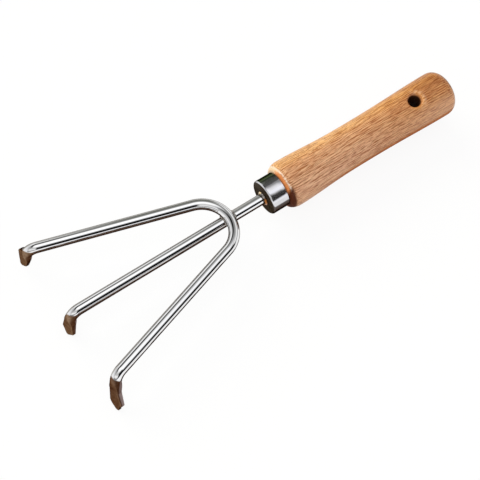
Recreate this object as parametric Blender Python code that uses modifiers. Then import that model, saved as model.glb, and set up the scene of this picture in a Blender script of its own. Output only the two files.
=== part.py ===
"""Three-tine hand rake: a turned wooden handle with a hanging hole, a cup ferrule,
a straight centre rod that runs from the tang to the middle tine, and one rod bent
into a U that carries both outer tines. The two rods are lapped and welded where
they cross.

Units are metres. The tines point along -X, the handle along +X, and the tips
reach down along -Z. The origin is the middle of the base of the whole rake.
"""

import math

import bmesh
import bpy
from mathutils import Matrix, Vector

# Rods
ROD_DIAMETER = 0.0080
ROD_SIDES = 24
LAP_RISE = 0.0040
SPREAD_ANGLE = math.radians(17.2)
U_BEND_RADIUS = 0.0225
U_BEND_STEPS = 22
TINE_REACH = 0.1280
TANG_LENGTH = 0.0550
TANG_CHAMFER = 0.0010

# Tine tips, forged by hand and not quite alike. How far each end lies below its
# tine, ahead of the bend and off to the right; how far its blade is turned, how wide
# the blade is at its top and above its point, how much of what it is wider than the
# rod lies to the right (1) or left (-1), and how far the point is off to the right
LEFT_TIP = {
    "below": 0.0219, "ahead": 0.0053, "aside": -0.0021, "turn": math.radians(-24.5),
    "top_width": 0.0114, "low_width": 0.0085, "one_sided": -0.75, "point_aside": -0.0010,
}
MIDDLE_TIP = {
    "below": 0.0249, "ahead": 0.0047, "aside": -0.0004, "turn": math.radians(-7.0),
    "top_width": 0.0092, "low_width": 0.0115, "one_sided": 0.0, "point_aside": 0.0,
}
RIGHT_TIP = {
    "below": 0.0283, "ahead": 0.0090, "aside": 0.0048, "turn": math.radians(12.0),
    "top_width": 0.0081, "low_width": 0.0113, "one_sided": 1.0, "point_aside": 0.0029,
}
TIP_BEND_RADIUS = 0.0080
TIP_BEND_STEPS = 12
BLADE_STEPS = 9
BLADE_THICKNESS = 0.0046
BLADE_END_THICKNESS = 0.0029
BLADE_POINT_WIDTH = 0.0028
BLADE_CORNER = 5.5

# Where a blade starts, is fully flattened and comes to its point, as shares of the
# tip's run from the bend's start to its end
BLADE_START = 0.28
BLADE_TOP = 0.54
BLADE_POINT = 0.83

# Ferrule
SHANK_LENGTH = 0.0300
FERRULE_LENGTH = 0.0133
FERRULE_RADIUS = 0.0132
FERRULE_WALL = 0.0010
FERRULE_EDGE_RADIUS = 0.0014
FERRULE_LIP_RADIUS = 0.0004

# Welds
CROSSING_BEAD_RADIUS = 0.0014
CROSSING_BEAD_STEPS = 40
CROSSING_BEAD_ROUNDS = 3
SHANK_BEAD_LEG = 0.0013
SHANK_BEAD_HOLLOW = 0.82
SHANK_BEAD_STEPS = 4

# Handle, measured along its axis from the ferrule's back edge
HANDLE_LENGTH = 0.1504
SHOULDER_FOOT_RADIUS = 0.0134
SHOULDER_RADIUS = 0.01775
SHOULDER_LENGTH = 0.0080
WAIST_RADIUS = 0.0158
WAIST_PLACE = 0.0650
SWELL_RADIUS = 0.01715
SWELL_PLACE = 0.1400
BUTT_ROUND_LENGTH = 0.0085
BUTT_FLAT_RADIUS = 0.0095
WAIST_EASE = 1.3
HANDLE_STEPS = 18
BORE_POINT_ANGLE = math.radians(31.0)

# Hanging hole
HOLE_RADIUS = 0.0045
HOLE_FROM_BUTT = 0.0328
HOLE_TURN = math.radians(10.0)
DISH_RADIUS = 0.0085
DISH_DEPTH = 0.0034

# Fits
FIT_GAP = 0.0003
TURN_STEPS = 48
ARC_STEPS = 7
MERGE_DISTANCE = 0.00001

ROD_RADIUS = ROD_DIAMETER / 2
FERRULE_BACK = SHANK_LENGTH + FERRULE_LENGTH
HANDLE_START = FERRULE_BACK + FIT_GAP
TENON_RADIUS = FERRULE_RADIUS - FERRULE_WALL - FIT_GAP
TENON_FRONT = SHANK_LENGTH + FERRULE_WALL + FIT_GAP
BORE_RADIUS = ROD_RADIUS + FIT_GAP
TANG_END = SHANK_LENGTH + TANG_LENGTH

STEEL = (0.62, 0.62, 0.63, 1.0)
BEECH = (0.66, 0.40, 0.22, 1.0)
HEAT_TINT = (0.32, 0.24, 0.18, 1.0)


def clear_scene():
    """Remove whatever the open file holds."""
    for obj in list(bpy.data.objects):
        bpy.data.objects.remove(obj, do_unlink=True)


def new_collection(name):
    """A collection linked to the scene."""
    collection = bpy.data.collections.new(name)
    bpy.context.scene.collection.children.link(collection)
    return collection


def new_material(name, colour, roughness, metallic):
    """A plain Principled material."""
    material = bpy.data.materials.new(name)
    material.use_nodes = True
    shader = material.node_tree.nodes["Principled BSDF"]
    shader.inputs["Base Color"].default_value = colour
    shader.inputs["Roughness"].default_value = roughness
    shader.inputs["Metallic"].default_value = metallic
    material.diffuse_color = colour
    return material


def place(mesh, name, collection, material=None):
    """An object for a mesh, in its collection, with its material."""
    obj = bpy.data.objects.new(name, mesh)
    collection.objects.link(obj)
    if material:
        mesh.materials.append(material)
    return obj


def hide_cutter(obj):
    """Cutters show as wires and never render."""
    obj.hide_render = True
    obj.display_type = "WIRE"


def cut(target, cutter):
    """Cut one solid out of another."""
    boolean = target.modifiers.new("cut_" + cutter.name, "BOOLEAN")
    boolean.operation = "DIFFERENCE"
    boolean.solver = "EXACT"
    boolean.object = cutter


def arc(centre, radius_x, radius_y, start, end, steps=ARC_STEPS):
    """Points on an elliptic arc, angles in degrees, both ends included."""
    points = []
    for step in range(steps + 1):
        angle = math.radians(start + (end - start) * step / steps)
        x = centre[0] + radius_x * math.cos(angle)
        y = centre[1] + radius_y * math.sin(angle)
        points.append((x, y))
    return points


def turned(name, outline, collection, material=None, closed=False):
    """A lathe-turned piece along +X. The outline is (radius, distance) pairs that
    run down the outer side, from far to near."""
    mesh = bpy.data.meshes.new(name)
    vertices = [(radius, 0.0, distance) for radius, distance in outline]
    edges = [(index, index + 1) for index in range(len(outline) - 1)]
    if closed:
        edges.append((len(outline) - 1, 0))
    mesh.from_pydata(vertices, edges, [])
    obj = place(mesh, name, collection, material)
    screw = obj.modifiers.new("turn", "SCREW")
    screw.axis = "Z"
    screw.angle = math.tau
    screw.steps = TURN_STEPS
    screw.render_steps = TURN_STEPS
    screw.use_merge_vertices = True
    screw.merge_threshold = MERGE_DISTANCE
    screw.use_smooth_shade = True
    obj.rotation_euler = (0.0, math.radians(90), 0.0)
    return obj


def smooth(obj, angle=35.0):
    """Smooth faces with crisp edges past an angle."""
    obj.data.shade_smooth()
    obj.data.set_sharp_from_angle(angle=math.radians(angle))


def section(width, thickness, corner):
    """A closed outline from round (corner 2) to nearly square (corner 4)."""
    points = []
    for side in range(ROD_SIDES):
        angle = math.tau * (side + 0.5) / ROD_SIDES
        cosine = math.cos(angle)
        sine = math.sin(angle)
        across = math.copysign(abs(cosine) ** (2 / corner), cosine) * width / 2
        through = math.copysign(abs(sine) ** (2 / corner), sine) * thickness / 2
        points.append((across, through))
    return points


def rod_frame(heading):
    """Directions across and above a level rod that heads this way in plan."""
    return Vector((-math.sin(heading), math.cos(heading), 0.0)), Vector((0.0, 0.0, 1.0))


def ring(point, frame, width, thickness, corner=2.0):
    """One section of a rod, across its frame."""
    aside, above = frame
    outline = section(width, thickness, corner)
    return [point + aside * across + above * through for across, through in outline]


def round_ring(point, heading, diameter=ROD_DIAMETER):
    """A level round section."""
    return ring(point, rod_frame(heading), diameter, diameter)


def loft(name, rings, collection, material=None):
    """A solid skinned over rings of equal count."""
    work = bmesh.new()
    rows = [[work.verts.new(point) for point in points] for points in rings]
    for near, far in zip(rows, rows[1:]):
        for side in range(len(near)):
            after = (side + 1) % len(near)
            work.faces.new((near[side], near[after], far[after], far[side]))
    work.faces.new(rows[0])
    work.faces.new(rows[-1])
    bmesh.ops.recalc_face_normals(work, faces=work.faces)
    mesh = bpy.data.meshes.new(name)
    work.to_mesh(mesh)
    work.free()
    obj = place(mesh, name, collection, material)
    smooth(obj)
    return obj


def ease(share):
    """Smooth rise from 0 to 1."""
    return (1 - math.cos(math.pi * min(max(share, 0.0), 1.0))) / 2


def between(value, start, end):
    """How far a value has come from start to end, held to 0 and 1."""
    return min(max((value - start) / (end - start), 0.0), 1.0)


def blade_width(tip, share):
    """The forged width: rod, top of the blade, above the point, point."""
    widths = (ROD_DIAMETER, tip["top_width"], tip["low_width"], BLADE_POINT_WIDTH)
    rises = (
        ease(between(share, BLADE_START, BLADE_TOP)),
        between(share, BLADE_TOP, BLADE_POINT),
        between(share, BLADE_POINT, 1.0),
    )
    width = widths[0]
    for before, after, rise in zip(widths, widths[1:], rises):
        width += (after - before) * rise
    return width


def blade_ring(point, frame, tip, share):
    """A section of a forged tip, from the bend's start (share 0) to its end (1)."""
    flatten = ease(between(share, BLADE_START, BLADE_TOP))
    width = blade_width(tip, share)
    thickness = ROD_DIAMETER + (BLADE_THICKNESS - ROD_DIAMETER) * flatten
    thickness += (BLADE_END_THICKNESS - BLADE_THICKNESS) * between(share, BLADE_TOP, 1.0)
    corner = 2.0 + (BLADE_CORNER - 2.0) * flatten
    shift = tip["one_sided"] * flatten * max(width - ROD_DIAMETER, 0.0) / 2
    shift += tip["point_aside"] * between(share, BLADE_POINT, 1.0)
    return ring(point + frame[0] * shift, frame, width, thickness, corner)


def tip_rings(corner, heading, tip):
    """The bend and forged blade at a tine's end. The corner is where the rod's
    centre line meets the blade's."""
    ahead = Vector((math.cos(heading), math.sin(heading), 0.0))
    level = rod_frame(heading)
    reach = ahead * tip["ahead"] + level[0] * tip["aside"] - level[1] * tip["below"]
    down = reach.normalized()
    hinge = ahead.cross(down).normalized()
    inward = hinge.cross(ahead)
    bend = ahead.angle(down)
    setback = TIP_BEND_RADIUS * math.tan(bend / 2)
    pivot = corner - ahead * setback + inward * TIP_BEND_RADIUS
    bend_length = TIP_BEND_RADIUS * bend
    blade_length = reach.length - setback
    total = bend_length + blade_length
    point_run = BLADE_POINT * total - bend_length
    foot = corner + down * setback
    stations = []
    for step in range(TIP_BEND_STEPS + 1):
        turn = Matrix.Rotation(bend * step / TIP_BEND_STEPS, 3, hinge)
        run = bend_length * step / TIP_BEND_STEPS
        stations.append((pivot - turn @ inward * TIP_BEND_RADIUS, turn, run))
    runs = [point_run * step / BLADE_STEPS for step in range(1, BLADE_STEPS + 1)] + [blade_length]
    for run in runs:
        stations.append((foot + down * run, turn, bend_length + run))
    rings = []
    for point, turn, run in stations:
        flatten = ease(between(run / total, BLADE_START, BLADE_TOP))
        twist = Matrix.Rotation(tip["turn"] * flatten, 3, turn @ ahead)
        frame = [twist @ turn @ direction for direction in level]
        rings.append(blade_ring(point, frame, tip, run / total))
    return rings


def u_bend_rings(diameter=ROD_DIAMETER):
    """The U bend, from the end of the right tine to the start of the left one."""
    sweep = math.pi / 2 - SPREAD_ANGLE
    rings = []
    for step in range(-U_BEND_STEPS, U_BEND_STEPS + 1):
        turn = sweep * step / U_BEND_STEPS
        x = U_BEND_RADIUS * (math.cos(turn) - 1)
        y = U_BEND_RADIUS * math.sin(turn)
        rings.append(round_ring(Vector((x, y, LAP_RISE)), turn + math.pi / 2, diameter))
    return rings


def reversed_run(rings):
    """The same sections for a rod that is followed the other way."""
    half = ROD_SIDES // 2
    return [points[half - 1::-1] + points[:half - 1:-1] for points in reversed(rings)]


def make_outer_tines(collection, material):
    """The U-bent rod with both outer tines."""
    leg_start = U_BEND_RADIUS * Vector((math.sin(SPREAD_ANGLE) - 1, math.cos(SPREAD_ANGLE)))
    run = (TINE_REACH + leg_start.x) / math.cos(SPREAD_ANGLE)
    corner_y = leg_start.y + run * math.sin(SPREAD_ANGLE)
    left = Vector((-TINE_REACH, corner_y, LAP_RISE))
    right = Vector((-TINE_REACH, -corner_y, LAP_RISE))
    left_end = tip_rings(left, math.pi - SPREAD_ANGLE, LEFT_TIP)
    right_end = tip_rings(right, math.pi + SPREAD_ANGLE, RIGHT_TIP)
    rings = reversed_run(right_end) + u_bend_rings() + left_end
    return loft("outer_tines", rings, collection, material)


def make_centre_tine(collection, material):
    """The straight rod: tang, shank and middle tine in one."""
    rings = [
        round_ring(Vector((TANG_END, 0.0, 0.0)), math.pi, ROD_DIAMETER - 2 * TANG_CHAMFER),
        round_ring(Vector((TANG_END - TANG_CHAMFER, 0.0, 0.0)), math.pi),
        round_ring(Vector((SHANK_LENGTH, 0.0, 0.0)), math.pi),
    ]
    rings += tip_rings(Vector((-TINE_REACH, 0.0, 0.0)), math.pi, MIDDLE_TIP)
    return loft("centre_tine", rings, collection, material)


def make_saddle_cutter(collection):
    """The U bend with clearance all round, for the notch and the weld."""
    rings = u_bend_rings(ROD_DIAMETER + 2 * FIT_GAP)
    obj = loft("saddle_cutter", rings, collection)
    hide_cutter(obj)
    return obj


def make_rod_cutter(collection):
    """The centre rod with clearance, for the weld round the crossing."""
    reach = U_BEND_RADIUS
    diameter = ROD_DIAMETER + 2 * FIT_GAP
    rings = [
        round_ring(Vector((reach, 0.0, 0.0)), math.pi, diameter),
        round_ring(Vector((-reach, 0.0, 0.0)), math.pi, diameter),
    ]
    obj = loft("rod_cutter", rings, collection)
    hide_cutter(obj)
    return obj


def crossing_line():
    """The closed line along which the two rods' surfaces meet."""
    low = LAP_RISE - ROD_RADIUS
    high = ROD_RADIUS
    points = []
    for index in range(CROSSING_BEAD_STEPS):
        turn = math.tau * index / CROSSING_BEAD_STEPS
        z = low + (high - low) * math.cos(turn) ** 2
        half_width = math.sqrt(max(ROD_RADIUS ** 2 - z ** 2, 0.0))
        half_depth = math.sqrt(max(ROD_RADIUS ** 2 - (z - LAP_RISE) ** 2, 0.0))
        y = math.copysign(half_width, math.sin(turn))
        from_bend_centre = U_BEND_RADIUS + math.copysign(half_depth, math.cos(turn))
        x = math.sqrt(from_bend_centre ** 2 - y ** 2) - U_BEND_RADIUS
        points.append(Vector((x, y, z)))
    return points


def make_crossing_weld(collection, material, saddle_cutter, rod_cutter):
    """A bead of weld metal round the crossing."""
    curve = bpy.data.curves.new("bead_line", "CURVE")
    curve.dimensions = "3D"
    curve.bevel_depth = CROSSING_BEAD_RADIUS
    curve.bevel_resolution = CROSSING_BEAD_ROUNDS
    spline = curve.splines.new("POLY")
    points = crossing_line()
    spline.points.add(len(points) - 1)
    for slot, point in zip(spline.points, points):
        slot.co = (*point, 1.0)
    spline.use_cyclic_u = True
    line = bpy.data.objects.new("bead_line", curve)
    collection.objects.link(line)
    depsgraph = bpy.context.evaluated_depsgraph_get()
    mesh = bpy.data.meshes.new_from_object(line.evaluated_get(depsgraph))
    bpy.data.objects.remove(line, do_unlink=True)
    obj = place(mesh, "crossing_weld", collection, material)
    cut(obj, saddle_cutter)
    cut(obj, rod_cutter)
    smooth(obj, 60.0)
    return obj


def make_shank_weld(collection, material):
    """The fillet of weld between the shank and the ferrule's face."""
    near = SHANK_LENGTH - FIT_GAP - SHANK_BEAD_LEG
    far = SHANK_LENGTH - FIT_GAP
    inner = ROD_RADIUS + FIT_GAP
    outer = inner + SHANK_BEAD_LEG
    scoop = SHANK_BEAD_LEG * SHANK_BEAD_HOLLOW
    hollow = arc((outer, near), scoop, scoop, 90, 180, SHANK_BEAD_STEPS)
    outline = [(outer, far)] + hollow + [(inner, near), (inner, far)]
    return turned("shank_weld", outline, collection, material, closed=True)


def make_ferrule(collection, material):
    """The cup that caps the handle's front end."""
    edge = FERRULE_EDGE_RADIUS
    lip = FERRULE_LIP_RADIUS
    inside = FERRULE_RADIUS - FERRULE_WALL
    inner_edge = max(edge - FERRULE_WALL, lip)
    outline = arc((FERRULE_RADIUS - lip, FERRULE_BACK - lip), lip, lip, 90, 0, 3)
    outline += arc((FERRULE_RADIUS - edge, SHANK_LENGTH + edge), edge, edge, 0, -90)
    outline += [(BORE_RADIUS, SHANK_LENGTH), (BORE_RADIUS, SHANK_LENGTH + FERRULE_WALL)]
    front = SHANK_LENGTH + FERRULE_WALL
    outline += arc((inside - inner_edge, front + inner_edge), inner_edge, inner_edge, -90, 0, 3)
    outline += [(inside, FERRULE_BACK)]
    return turned("ferrule", outline, collection, material, closed=True)


def handle_radius(place_along):
    """The handle's radius between its shoulder and the round of its butt."""
    if place_along < WAIST_PLACE:
        share = (WAIST_PLACE - place_along) / (WAIST_PLACE - SHOULDER_LENGTH)
        return WAIST_RADIUS + (SHOULDER_RADIUS - WAIST_RADIUS) * ease(share ** WAIST_EASE)
    share = (place_along - WAIST_PLACE) / (SWELL_PLACE - WAIST_PLACE)
    return WAIST_RADIUS + (SWELL_RADIUS - WAIST_RADIUS) * ease(min(share, 1.0) ** WAIST_EASE)


def handle_outline():
    """From the middle of the butt down the outside, then up the tang's bore."""
    end = HANDLE_START + HANDLE_LENGTH
    round_start = HANDLE_LENGTH - BUTT_ROUND_LENGTH
    outline = [(0.0, end)]
    radial = SWELL_RADIUS - BUTT_FLAT_RADIUS
    outline += arc((BUTT_FLAT_RADIUS, end - BUTT_ROUND_LENGTH), radial, BUTT_ROUND_LENGTH, 90, 0)
    for step in range(1, HANDLE_STEPS):
        along = round_start + (SHOULDER_LENGTH - round_start) * step / HANDLE_STEPS
        outline.append((handle_radius(along), HANDLE_START + along))
    rise = SHOULDER_RADIUS - SHOULDER_FOOT_RADIUS
    centre = (SHOULDER_FOOT_RADIUS, HANDLE_START + SHOULDER_LENGTH)
    outline += arc(centre, rise, SHOULDER_LENGTH, 0, -90)
    chamfer = FERRULE_EDGE_RADIUS
    outline += [
        (TENON_RADIUS, HANDLE_START),
        (TENON_RADIUS, TENON_FRONT + chamfer),
        (TENON_RADIUS - chamfer, TENON_FRONT),
        (BORE_RADIUS, TENON_FRONT),
        (BORE_RADIUS, TANG_END + FIT_GAP),
        (0.0, TANG_END + FIT_GAP + BORE_RADIUS * math.tan(BORE_POINT_ANGLE)),
    ]
    return outline


def make_hole_cutter(collection):
    """The hanging hole: a straight bore that opens into a dished mouth at each
    side of the handle."""
    along = HANDLE_LENGTH - HOLE_FROM_BUTT
    skin = handle_radius(along)
    top = skin + DISH_DEPTH
    flare = DISH_RADIUS - HOLE_RADIUS
    upper = arc((DISH_RADIUS, skin - DISH_DEPTH), flare, DISH_DEPTH, 90, 180)
    lower = [(radius, -height) for radius, height in reversed(upper)]
    outline = [(0.0, top), (DISH_RADIUS, top)] + upper + lower + [(DISH_RADIUS, -top), (0.0, -top)]
    obj = turned("hole_cutter", outline, collection)
    obj.rotation_euler = (HOLE_TURN, 0.0, 0.0)
    obj.location = (HANDLE_START + along, 0.0, 0.0)
    hide_cutter(obj)
    return obj


def make_handle(collection, material, hole_cutter):
    """The turned handle with its tenon, tang bore and hanging hole."""
    obj = turned("handle", handle_outline(), collection, material)
    cut(obj, hole_cutter)
    return obj


def stand_on_base(objects):
    """Hang every object on one empty, which puts the middle of the rake's base
    at the origin."""
    bpy.context.view_layer.update()
    depsgraph = bpy.context.evaluated_depsgraph_get()
    points = []
    for obj in objects:
        if obj.hide_render:
            continue
        evaluated = obj.evaluated_get(depsgraph)
        points += [evaluated.matrix_world @ vertex.co for vertex in evaluated.data.vertices]
    low = Vector([min(point[axis] for point in points) for axis in range(3)])
    high = Vector([max(point[axis] for point in points) for axis in range(3)])
    middle = (low + high) / 2
    stand = bpy.data.objects.new("rake_stand", None)
    bpy.context.scene.collection.objects.link(stand)
    stand.location = (-middle.x, -middle.y, -low.z)
    for obj in objects:
        obj.parent = stand
        obj.matrix_parent_inverse = Matrix.Identity(4)


def main():
    clear_scene()
    rake = new_collection("garden_rake")
    cutters = new_collection("cutters")
    steel = new_material("polished_steel", STEEL, 0.18, 1.0)
    cap_steel = new_material("ferrule_steel", STEEL, 0.12, 1.0)
    wood = new_material("beech", BEECH, 0.5, 0.0)
    tint = new_material("weld_metal", HEAT_TINT, 0.35, 1.0)

    saddle_cutter = make_saddle_cutter(cutters)
    rod_cutter = make_rod_cutter(cutters)
    hole_cutter = make_hole_cutter(cutters)

    outer = make_outer_tines(rake, steel)
    centre = make_centre_tine(rake, steel)
    cut(centre, saddle_cutter)
    weld = make_crossing_weld(rake, tint, saddle_cutter, rod_cutter)
    fillet = make_shank_weld(rake, tint)
    ferrule = make_ferrule(rake, cap_steel)
    handle = make_handle(rake, wood, hole_cutter)

    parts = [outer, centre, weld, fillet, ferrule, handle]
    stand_on_base(parts + [saddle_cutter, rod_cutter, hole_cutter])


main()
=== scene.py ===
"""Looks for the three-tine hand rake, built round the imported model.

Shapes are made in the tool's own frame (origin where the two rods cross, tines
along -X, handle along +X, metres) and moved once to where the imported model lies.
Left and right are the user's: left is +Y.
"""

import math
from types import SimpleNamespace

import bmesh
import bpy
from mathutils import Matrix, Vector, noise


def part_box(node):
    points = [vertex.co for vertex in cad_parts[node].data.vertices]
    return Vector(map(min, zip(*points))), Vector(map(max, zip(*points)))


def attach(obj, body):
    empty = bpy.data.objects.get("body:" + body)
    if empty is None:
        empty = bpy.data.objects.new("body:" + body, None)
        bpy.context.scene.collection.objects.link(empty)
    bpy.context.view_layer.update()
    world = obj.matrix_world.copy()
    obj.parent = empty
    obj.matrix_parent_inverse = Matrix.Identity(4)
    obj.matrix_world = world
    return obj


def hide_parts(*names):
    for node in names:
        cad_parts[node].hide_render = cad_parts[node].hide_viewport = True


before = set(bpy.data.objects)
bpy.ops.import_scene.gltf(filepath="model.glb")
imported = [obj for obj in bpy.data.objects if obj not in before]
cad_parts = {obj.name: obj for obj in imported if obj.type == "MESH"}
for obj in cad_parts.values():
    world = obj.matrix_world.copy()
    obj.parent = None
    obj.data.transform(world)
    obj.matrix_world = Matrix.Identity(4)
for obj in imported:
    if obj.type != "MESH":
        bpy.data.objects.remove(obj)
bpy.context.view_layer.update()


# ---------------------------------------------------------------- sizes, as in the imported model

ROD_RADIUS = 0.0040
LAP_RISE = 0.0040                  # of the U rod's centre line over the straight rod's
SPREAD_ANGLE = math.radians(17.2)
U_BEND_RADIUS = 0.0225
TINE_REACH = 0.1280
TANG_LENGTH = 0.0550
TANG_END_DIAMETER = 0.0060
TANG_CHAMFER = 0.0010
# The tips. How far each end lies below its tine, ahead of the bend and to the right; how
# far its blade is turned; how wide it is at its top and above its point; how much of
# what it is wider than the rod lies to the right (1) or left (-1); how far its point is
# off to the right; and how the edge of its painted reflection of a brown ground slants,
# on the shown pieces only
LEFT_TIP = {
    "below": 0.0219, "ahead": 0.0053, "aside": -0.0021, "turn": math.radians(-24.5),
    "top_width": 0.0114, "low_width": 0.0085, "one_sided": -0.75, "point_aside": -0.0010,
    "reflection_slant": 0.80,
}
MIDDLE_TIP = {
    "below": 0.0249, "ahead": 0.0047, "aside": -0.0004, "turn": math.radians(-7.0),
    "top_width": 0.0092, "low_width": 0.0115, "one_sided": 0.0, "point_aside": 0.0,
    "reflection_slant": 0.80,
}
RIGHT_TIP = {
    "below": 0.0283, "ahead": 0.0090, "aside": 0.0048, "turn": math.radians(12.0),
    "top_width": 0.0081, "low_width": 0.0113, "one_sided": 1.0, "point_aside": 0.0029,
    "reflection_slant": -0.15,
}
TIP_BEND_RADIUS = 0.0080
BLADE_THICKNESS = 0.0046
BLADE_END_THICKNESS = 0.0029
BLADE_POINT_WIDTH = 0.0028
ROUND_CORNER = 2.0                 # a section's corner: 2 is round, more is squarer
BLADE_CORNER = 5.5
BLADE_START = 0.28                 # shares of the way from a tip's bend to its point
BLADE_TOP = 0.54
BLADE_POINT = 0.83
SHANK_LENGTH = 0.0300
FERRULE_LENGTH = 0.0133
FERRULE_RADIUS = 0.0132
FERRULE_WALL = 0.0010
FERRULE_EDGE_RADIUS = 0.0014
FERRULE_LIP_RADIUS = 0.0004
HANDLE_LENGTH = 0.1504
SHOULDER_FOOT_RADIUS = 0.0134
SHOULDER_RADIUS = 0.01775
SHOULDER_LENGTH = 0.0080
WAIST_RADIUS = 0.0158
WAIST_PLACE = 0.0650
SWELL_RADIUS = 0.01715
SWELL_PLACE = 0.1400
BUTT_ROUND_LENGTH = 0.0085
BUTT_FLAT_RADIUS = 0.0095
WAIST_EASE = 1.3
HOLE_RADIUS = 0.0045
HOLE_FROM_BUTT = 0.0328
HOLE_TURN = math.radians(10.0)
DISH_RADIUS = 0.0085
DISH_DEPTH = 0.0034
FIT_GAP = 0.0003
SHANK_BEAD_LEG = 0.0013
SHANK_BEAD_HOLLOW = 0.82           # its scoop's radius, as a share of its leg
HANDLE_START = SHANK_LENGTH + FERRULE_LENGTH + FIT_GAP
HOLE_PLACE = HANDLE_START + HANDLE_LENGTH - HOLE_FROM_BUTT

# Sizes that only the shown pieces have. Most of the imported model's clearances are
# narrower there, and the bead round the crossing is thinner.
SHOWN_GAP = 0.0001                 # between the handle and what it holds
FERRULE_BORE_GAP = 0.00008
TENON_CHAMFER = 0.0004
HANDLE_BORE_POINT = 0.0020
SHANK_BEAD_FACE_GAP = 0.00002
SHANK_BEAD_ROD_GAP = 0.00005
SHANK_BEAD_LUMP = 0.00015
BEAD_RADIUS = 0.00095
BEAD_RIPPLE = 0.00010
BEAD_LUMP = 0.35                   # as a share of its radius
REFLECTION_TURN = math.radians(46.0)     # where round a tip's bend its painted reflection of a brown ground starts

# How finely the shown pieces are made
ROD_SIDES = 48
U_STEPS = 56
STRAIGHT_STEPS = 24
STRAIGHT_END = -0.10               # how far along the straight rod those steps reach
TIP_BEND_STEPS = 36
BLADE_STEPS = 24
BLADE_POINT_SHARES = (0.25, 0.5, 0.75, 0.97, 1.0)
BEAD_STEPS = 160
BEAD_SIDES = 16
BEAD_RIPPLES = 17
BEAD_LUMP_SCALE = 900
SHANK_BEAD_SIDES = 96
SHANK_BEAD_STEPS = 8
SHANK_BEAD_LUMP_SCALE = 700
FERRULE_SIDES = 192
FERRULE_EDGE_STEPS = 14
FERRULE_LIP_STEPS = 5
FERRULE_CORNER_STEPS = 3
HANDLE_SIDES = 144
HANDLE_STEPS = 72
HANDLE_ROUND_STEPS = 18
CUTTER_SIDES = 96
DISH_STEPS = 14
FLAT_INSET = 0.0030                # a row that keeps a flat flat beside a round
BUTT_MIDDLE_RADIUS = 0.0040        # of the row round the butt's middle

low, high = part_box("ferrule")
ORIGIN = Vector((low.x - SHANK_LENGTH, (low.y + high.y) / 2, (low.z + high.z) / 2))


# ---------------------------------------------------------------- mesh helpers

def finish_piece(mesh, name, nodes, material, sharp):
    """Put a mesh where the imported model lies, as the piece that stands for its nodes.
    Edges that turn by more than sharp degrees stay sharp."""
    mesh.transform(Matrix.Translation(ORIGIN))
    mesh.shade_smooth()
    mesh.set_sharp_from_angle(angle=math.radians(sharp))
    mesh.materials.append(material)
    obj = show(name, mesh)
    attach(obj, "root")
    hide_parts(*nodes)


def show(name, data):
    """A new object in the scene."""
    obj = bpy.data.objects.new(name, data)
    bpy.context.scene.collection.objects.link(obj)
    return obj


def to_mesh(work):
    """The mesh of a bmesh, its faces turned outward."""
    bmesh.ops.recalc_face_normals(work, faces=work.faces)
    mesh = bpy.data.meshes.new("work")
    work.to_mesh(mesh)
    work.free()
    return mesh


def ease(share):
    return (1 - math.cos(math.pi * min(max(share, 0.0), 1.0))) / 2


def between(value, start, end):
    return min(max((value - start) / (end - start), 0.0), 1.0)


def arc(centre, radius_x, radius_y, start, end, steps):
    """Points on an ellipse from one angle to another, in degrees."""
    points = []
    for step in range(steps + 1):
        angle = math.radians(start + (end - start) * step / steps)
        points.append((
            centre[0] + radius_x * math.cos(angle),
            centre[1] + radius_y * math.sin(angle),
        ))
    return points


def skin(rings, closed_ends=True):
    """A mesh skinned over rings of equal count. Its ends are capped, or else its last
    ring lies on its first and is merged with it."""
    work = bmesh.new()
    rows = [[work.verts.new(point) for point in points] for points in rings]
    for near, far in zip(rows, rows[1:]):
        for side in range(len(near)):
            after = (side + 1) % len(near)
            work.faces.new((near[side], near[after], far[after], far[side]))
    if closed_ends:
        for row in (rows[0], rows[-1]):
            middle = work.verts.new(sum((vertex.co for vertex in row), Vector()) / len(row))
            for side in range(len(row)):
                work.faces.new((row[side], row[(side + 1) % len(row)], middle))
    else:
        bmesh.ops.remove_doubles(work, verts=work.verts, dist=1e-6)
    return to_mesh(work)


def lathe(outline, sides, closed=False):
    """A mesh turned about X from (radius, distance) pairs. Points on the axis are shared."""
    work = bmesh.new()
    columns = []
    for radius, along in outline:
        if radius < 1e-7:
            columns.append([work.verts.new((along, 0.0, 0.0))] * sides)
            continue
        column = []
        for side in range(sides):
            angle = math.tau * side / sides
            spot = (along, radius * math.cos(angle), radius * math.sin(angle))
            column.append(work.verts.new(spot))
        columns.append(column)
    pairs = list(zip(columns, columns[1:]))
    if closed:
        pairs.append((columns[-1], columns[0]))
    for near, far in pairs:
        for side in range(sides):
            after = (side + 1) % sides
            corners = list(dict.fromkeys((near[side], near[after], far[after], far[side])))
            if len(corners) > 2:
                work.faces.new(corners)
    return to_mesh(work)


# ---------------------------------------------------------------- rods

def rod_frame(heading):
    """The directions across and through a level rod."""
    return Vector((-math.sin(heading), math.cos(heading), 0.0)), Vector((0.0, 0.0, 1.0))


def ring(point, axes, width, thickness, corner=ROUND_CORNER):
    """One section of a rod."""
    points = []
    for side in range(ROD_SIDES):
        angle = math.tau * (side + 0.5) / ROD_SIDES
        cosine, sine = math.cos(angle), math.sin(angle)
        across = math.copysign(abs(cosine) ** (2 / corner), cosine) * width / 2
        through = math.copysign(abs(sine) ** (2 / corner), sine) * thickness / 2
        points.append(point + axes[0] * across + axes[1] * through)
    return points


def round_ring(point, heading, diameter=2 * ROD_RADIUS):
    return ring(point, rod_frame(heading), diameter, diameter)


def straight(start, end, heading, steps):
    """Sections along a straight stretch, without its last one."""
    return [round_ring(start.lerp(end, step / steps), heading) for step in range(steps)]


def blade_width(tip, share):
    widths = (2 * ROD_RADIUS, tip["top_width"], tip["low_width"], BLADE_POINT_WIDTH)
    rises = (
        ease(between(share, BLADE_START, BLADE_TOP)),
        between(share, BLADE_TOP, BLADE_POINT),
        between(share, BLADE_POINT, 1.0),
    )
    width = widths[0]
    for before, after, rise in zip(widths, widths[1:], rises):
        width += (after - before) * rise
    return width


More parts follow.
